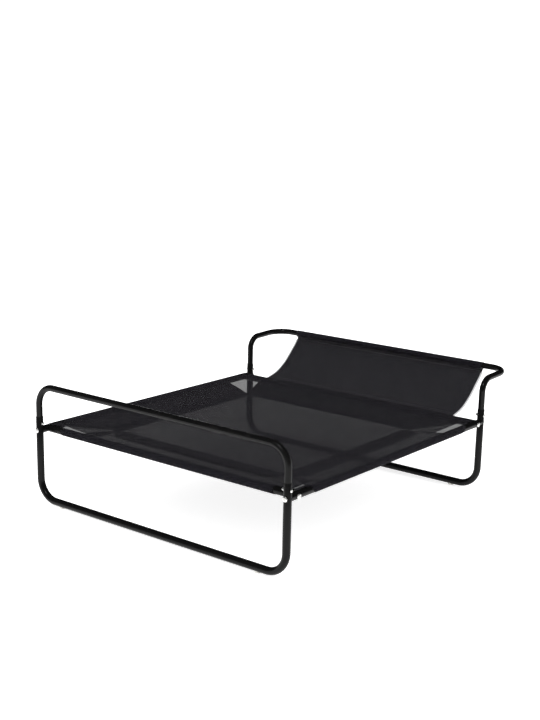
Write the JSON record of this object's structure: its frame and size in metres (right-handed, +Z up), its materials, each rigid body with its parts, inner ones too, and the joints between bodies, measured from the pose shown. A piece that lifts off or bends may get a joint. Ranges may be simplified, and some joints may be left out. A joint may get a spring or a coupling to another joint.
{
  "type": "dog bed with frame",
  "caption": "Raised square dog bed: bent black tube hoops and straight rails carry a slung black mesh deck, with a mesh head rest hanging from the higher rear hoop.",
  "frame": {"origin": "middle of the overall footprint, on the floor plane under the glides", "axes": "+X across the bed, left to right seen from the foot; +Y from the foot rail to the head rest; +Z up"},
  "size_m": [0.9604, 1.1648, 0.3753],
  "materials": {
    "black_powder_coat": "semi-gloss black powder coat",
    "zinc": "bright zinc plate",
    "plug_steel": "plain turned steel",
    "glide_plastic": "translucent pale plastic",
    "sling_mesh": "open PVC-coated mesh weave",
    "panel_mesh": "open PVC-coated mesh weave",
    "rest_mesh": "PVC-coated mesh weave, two layers",
    "edge_tape": "woven grey edge tape"
  },
  "bodies": {
    "root": {"front_lower_hoop": "black_powder_coat", "rear_lower_hoop": "black_powder_coat", "front_upper_hoop": "black_powder_coat", "rear_upper_hoop": "black_powder_coat", "left_side_rail": "black_powder_coat", "right_side_rail": "black_powder_coat", "front_cross_rail": "black_powder_coat", "rear_cross_rail": "black_powder_coat", "front_left_side_rail_plug": "plug_steel", "front_left_cross_rail_plug": "plug_steel", "front_right_side_rail_plug": "plug_steel", "front_right_cross_rail_plug": "plug_steel", "rear_left_side_rail_plug": "plug_steel", "rear_left_cross_rail_plug": "plug_steel", "rear_right_side_rail_plug": "plug_steel", "rear_right_cross_rail_plug": "plug_steel", "front_left_leg_bolt": "zinc", "front_left_rail_bolt": "zinc", "front_left_hoop_screw": "zinc", "front_left_cap_nut": "zinc", "front_right_leg_bolt": "zinc", "front_right_rail_bolt": "zinc", "front_right_hoop_screw": "zinc", "front_right_cap_nut": "zinc", "rear_left_leg_bolt": "zinc", "rear_left_rail_bolt": "zinc", "rear_left_hoop_screw": "zinc", "rear_left_cap_nut": "zinc", "rear_right_leg_bolt": "zinc", "rear_right_rail_bolt": "zinc", "rear_right_hoop_screw": "zinc", "rear_right_cap_nut": "zinc", "front_left_glide": "glide_plastic", "front_right_glide": "glide_plastic", "rear_left_glide": "glide_plastic", "rear_right_glide": "glide_plastic", "deck_sheet": "sling_mesh", "left_sleeve": "sling_mesh", "right_sleeve": "sling_mesh", "front_sleeve": "sling_mesh", "rear_sleeve": "sling_mesh", "under_panel": "panel_mesh", "headrest_sling": "rest_mesh", "headrest_left_edge_tape": "edge_tape", "headrest_right_edge_tape": "edge_tape"}
  },
  "joints": []
}
